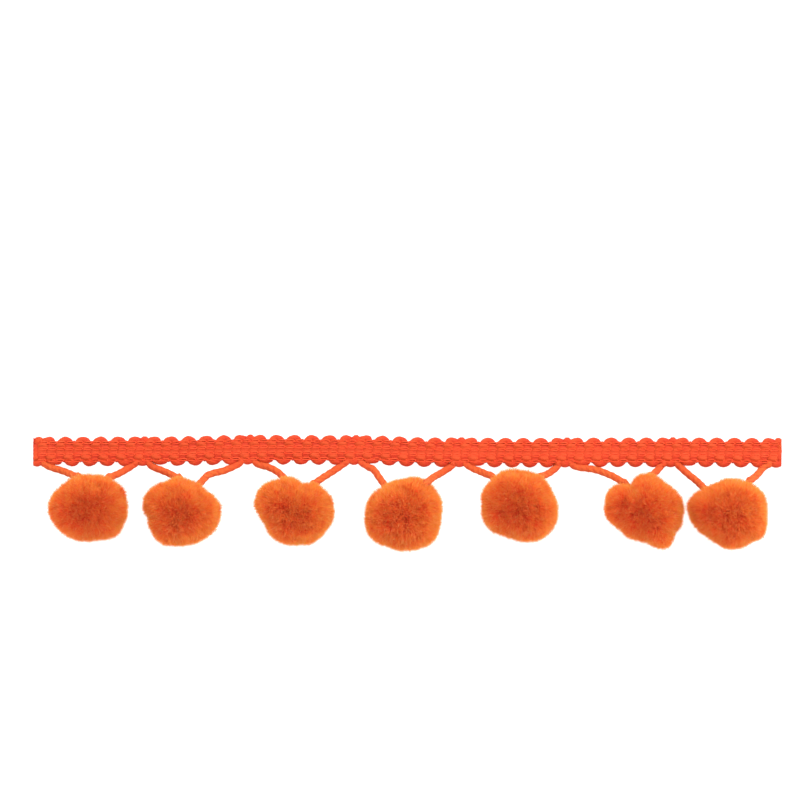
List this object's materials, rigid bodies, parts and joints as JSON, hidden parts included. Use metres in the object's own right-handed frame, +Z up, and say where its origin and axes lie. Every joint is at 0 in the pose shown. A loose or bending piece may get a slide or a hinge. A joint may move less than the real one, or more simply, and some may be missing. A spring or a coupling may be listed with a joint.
{
  "type": "pompom fringe trim",
  "caption": "Narrow scalloped braid with a row of soft round yarn pompoms hung from it on short cord loops, sewn on as an edging.",
  "frame": {"origin": "on the surface that the trim lies on, under the middle of the whole trim", "axes": "+X along the braid, +Y from the pompoms to the braid, +Z up from the surface, out of the trim's front"},
  "size_m": [0.187, 0.0293, 0.0184],
  "materials": {
    "braid_yarn": "red-orange braid of soft cord, with fine brighter warp stitches",
    "cord_yarn": "plied red-orange cord with a short fuzz",
    "pompom_yarn": "dense trimmed orange yarn pile, matte, lighter at the rim"
  },
  "bodies": {
    "root": {"heading_braid": "braid_yarn", "loop_cord_1": "cord_yarn", "loop_cord_2": "cord_yarn", "loop_cord_3": "cord_yarn", "loop_cord_4": "cord_yarn", "loop_cord_5": "cord_yarn", "loop_cord_6": "cord_yarn", "loop_cord_7": "cord_yarn", "pompom_1": "pompom_yarn", "pompom_2": "pompom_yarn", "pompom_3": "pompom_yarn", "pompom_4": "pompom_yarn", "pompom_5": "pompom_yarn", "pompom_6": "pompom_yarn", "pompom_7": "pompom_yarn"}
  },
  "joints": []
}
